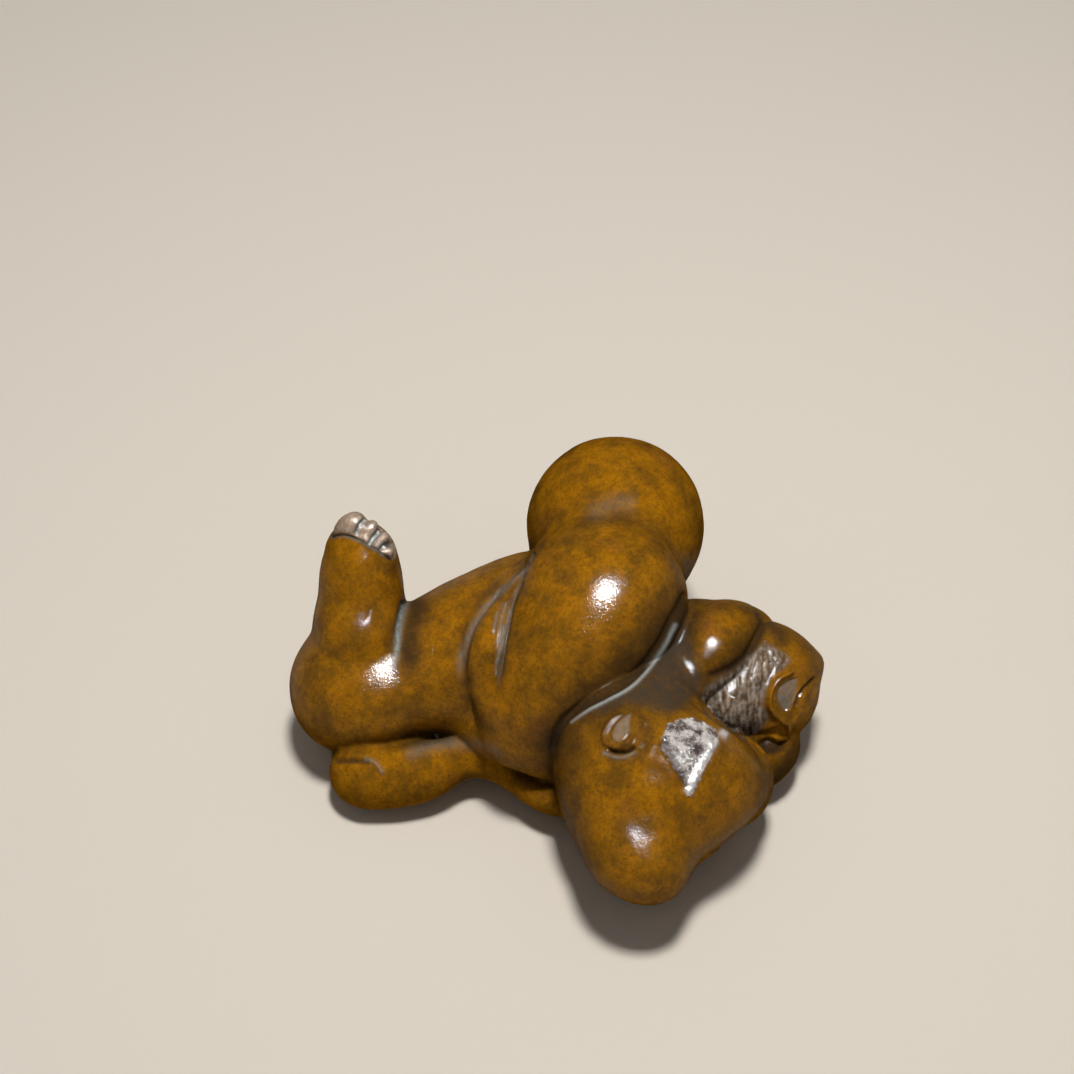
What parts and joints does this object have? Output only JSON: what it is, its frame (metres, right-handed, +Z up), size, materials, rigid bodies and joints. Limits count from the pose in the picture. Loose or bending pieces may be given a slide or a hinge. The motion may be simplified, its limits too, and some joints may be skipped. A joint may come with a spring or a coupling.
{
  "type": "tea pet figurine",
  "caption": "Small solid cast brass tea ornament of chubby tumbling children, with a raised bare foot, resting by its own weight on a tea tray or desk",
  "frame": {"origin": "middle of the box's underside, on the surface that the figure rests on", "axes": "+X runs from the bent knee to the heads, +Y from the near child to the raised far side, +Z up"},
  "size_m": [0.05, 0.0452, 0.0243],
  "materials": {
    "patinated_brass": "waxed chestnut-brown patina, darker in the hair and recesses, with faint grey-green verdigris in the creases"
  },
  "bodies": {
    "root": {"tumbling_children": "patinated_brass"}
  },
  "joints": []
}
